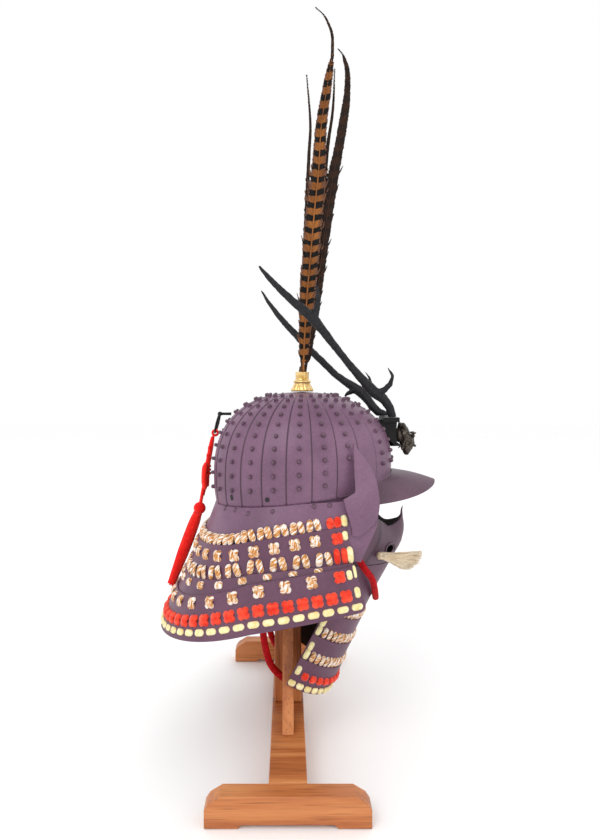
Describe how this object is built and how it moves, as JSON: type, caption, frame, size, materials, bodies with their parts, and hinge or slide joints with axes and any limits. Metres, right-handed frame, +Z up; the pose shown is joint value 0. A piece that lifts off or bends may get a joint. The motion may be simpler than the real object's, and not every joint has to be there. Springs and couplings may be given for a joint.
{
  "type": "samurai helmet with face mask on a wooden stand",
  "caption": "Ribbed and studded iron helmet bowl with a laced neck guard, face mask, throat guard, antler crest and tall feathers, on a wooden stand.",
  "frame": {"origin": "on the surface it stands on, under the middle of the outline", "axes": "+Z up, the helmet's front towards +X, the wearer's right towards -Y"},
  "size_m": [0.3742, 0.396, 0.9838],
  "materials": {
    "lacquered_iron": "satin plum lacquer",
    "gilt": "gilt, polished",
    "feather": "barred feather, matte",
    "black_iron": "black lacquer",
    "bronze": "dark bronze",
    "antler": "dark, matte and finely ridged",
    "red_silk": "silk floss",
    "hair": "blond hair",
    "stand_wood": "oiled reddish wood",
    "cord_silk": "braided silk",
    "yellow_silk": "silk lacing",
    "white_silk": "mottled silk lacing"
  },
  "bodies": {
    "root": {"bowl": "lacquered_iron", "base_band": "lacquered_iron", "neck_lame_1": "lacquered_iron", "neck_lame_2": "lacquered_iron", "neck_lame_3": "lacquered_iron", "neck_lame_4": "lacquered_iron", "visor": "lacquered_iron", "flap_right": "lacquered_iron", "flap_left": "lacquered_iron", "crown_fitting": "gilt", "feathers": "feather", "crest_bracket": "black_iron", "crest_head": "bronze", "antler_right": "antler", "antler_left": "antler", "tassel_ring": "black_iron", "tassel": "red_silk", "face_mask": "lacquered_iron", "moustache_right": "hair", "moustache_left": "hair", "throat_lame_1": "lacquered_iron", "throat_lame_2": "lacquered_iron", "throat_lame_3": "lacquered_iron", "throat_lame_4": "lacquered_iron", "stand_foot_right": "stand_wood", "stand_foot_left": "stand_wood", "stand_beam": "stand_wood", "stand_post": "stand_wood", "stand_strut_right": "stand_wood", "stand_strut_left": "stand_wood", "stand_head_rest": "stand_wood", "chin_cord": "cord_silk", "mask_cord": "cord_silk"}
  },
  "joints": []
}
